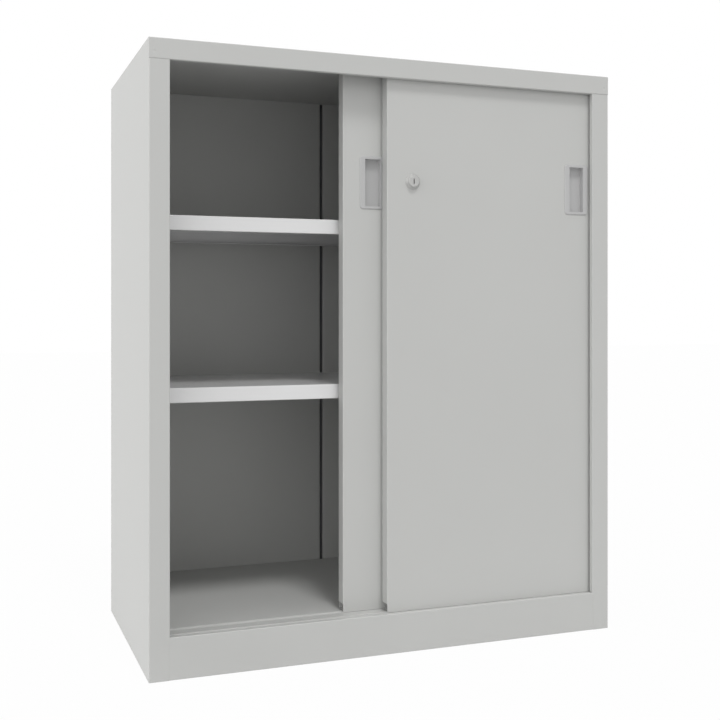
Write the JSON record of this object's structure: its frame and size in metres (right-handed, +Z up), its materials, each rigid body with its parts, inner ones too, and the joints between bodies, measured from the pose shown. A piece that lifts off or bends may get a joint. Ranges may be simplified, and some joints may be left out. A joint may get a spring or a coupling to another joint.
{
  "type": "sliding door cabinet",
  "caption": "Low steel cupboard with two sliding doors on floor rollers, adjustable shelves, flush pulls and a push lock.",
  "frame": {"origin": "middle of the cabinet's footprint, on the floor", "axes": "+X to the right seen from the front, +Y to the back, +Z up; the doors face -Y"},
  "size_m": [0.914, 0.457, 1.097],
  "materials": {
    "grey_enamel": "satin powder coat",
    "light_grey_enamel": "satin powder coat",
    "grey_moulding": "satin moulded",
    "nylon": "moulded",
    "black_rubber": "matt",
    "zinc_plate": "bright zinc plate",
    "lock_nickel": "satin nickel plate",
    "spring_steel": "oiled"
  },
  "bodies": {
    "carcass": {"back_cover_strip": "black_rubber", "bottom_deck": "grey_enamel", "floor_track": "grey_enamel", "front_head_track": "grey_enamel", "front_rail": "grey_enamel", "left_back_panel": "grey_enamel", "left_buffers": "black_rubber", "left_front_upright": "grey_enamel", "left_rear_upright": "grey_enamel", "left_side_panel": "grey_enamel", "lower_shelf": "light_grey_enamel", "lower_shelf_clips": "zinc_plate", "rear_head_track": "grey_enamel", "right_back_panel": "grey_enamel", "right_buffers": "black_rubber", "right_front_upright": "grey_enamel", "right_rear_upright": "grey_enamel", "right_side_panel": "grey_enamel", "top_panel": "grey_enamel", "upper_shelf": "light_grey_enamel", "upper_shelf_clips": "zinc_plate"},
    "front_door": {"front_door_panel": "grey_enamel", "front_door_stiffener": "grey_enamel", "front_head_guides": "nylon", "front_pull": "grey_moulding", "front_roller_axles": "zinc_plate", "front_roller_brackets": "zinc_plate", "lock_housing": "lock_nickel", "lock_nut": "lock_nickel", "lock_spring": "spring_steel"},
    "rear_door": {"rear_door_panel": "grey_enamel", "rear_door_stiffener": "grey_enamel", "rear_head_guides": "nylon", "rear_pull": "grey_moulding", "rear_roller_axles": "zinc_plate", "rear_roller_brackets": "zinc_plate", "lock_keeper": "zinc_plate"},
    "front_left_roller": {"front_left_roller": "nylon"},
    "front_right_roller": {"front_right_roller": "nylon"},
    "rear_left_roller": {"rear_left_roller": "nylon"},
    "rear_right_roller": {"rear_right_roller": "nylon"},
    "lock_button": {"lock_button": "lock_nickel"},
    "lock_plug": {"lock_plug": "lock_nickel"}
  },
  "joints": [
    {"name": "front_door_slide", "type": "slide", "parent": "carcass", "child": "front_door", "axis": [1, 0, 0], "range_m": [-0.4376, 0]},
    {"name": "rear_door_slide", "type": "slide", "parent": "carcass", "child": "rear_door", "axis": [1, 0, 0], "range_m": [-0.3611, 0.0545]},
    {"name": "front_left_roller_spin", "type": "hinge", "parent": "front_door", "child": "front_left_roller", "pos_m": [0.0464, -0.2105, 0.0827], "axis": [0, 1, 0], "continuous": true},
    {"name": "front_right_roller_spin", "type": "hinge", "parent": "front_door", "child": "front_right_roller", "pos_m": [0.3912, -0.2105, 0.0827], "axis": [0, 1, 0], "continuous": true},
    {"name": "rear_left_roller_spin", "type": "hinge", "parent": "rear_door", "child": "rear_left_roller", "pos_m": [-0.0301, -0.1815, 0.0827], "axis": [0, 1, 0], "continuous": true},
    {"name": "rear_right_roller_spin", "type": "hinge", "parent": "rear_door", "child": "rear_right_roller", "pos_m": [0.3147, -0.1815, 0.0827], "axis": [0, 1, 0], "continuous": true},
    {"name": "lock_button_push", "type": "slide", "parent": "front_door", "child": "lock_button", "axis": [0, 1, 0], "range_m": [0, 0.006], "stiffness_N_per_m": 300, "deforming": ["lock_spring"]},
    {"name": "lock_plug_turn", "type": "hinge", "parent": "lock_button", "child": "lock_plug", "pos_m": [0.038, -0.2145, 0.8725], "axis": [0, 1, 0], "range_deg": [0, 90]}
  ],
  "couplings": [
    {"joint": "front_left_roller_spin", "follows": "front_door_slide", "rad_per_m": 111.11},
    {"joint": "front_right_roller_spin", "follows": "front_door_slide", "rad_per_m": 111.11},
    {"joint": "rear_left_roller_spin", "follows": "rear_door_slide", "rad_per_m": 111.11},
    {"joint": "rear_right_roller_spin", "follows": "rear_door_slide", "rad_per_m": 111.11}
  ]
}
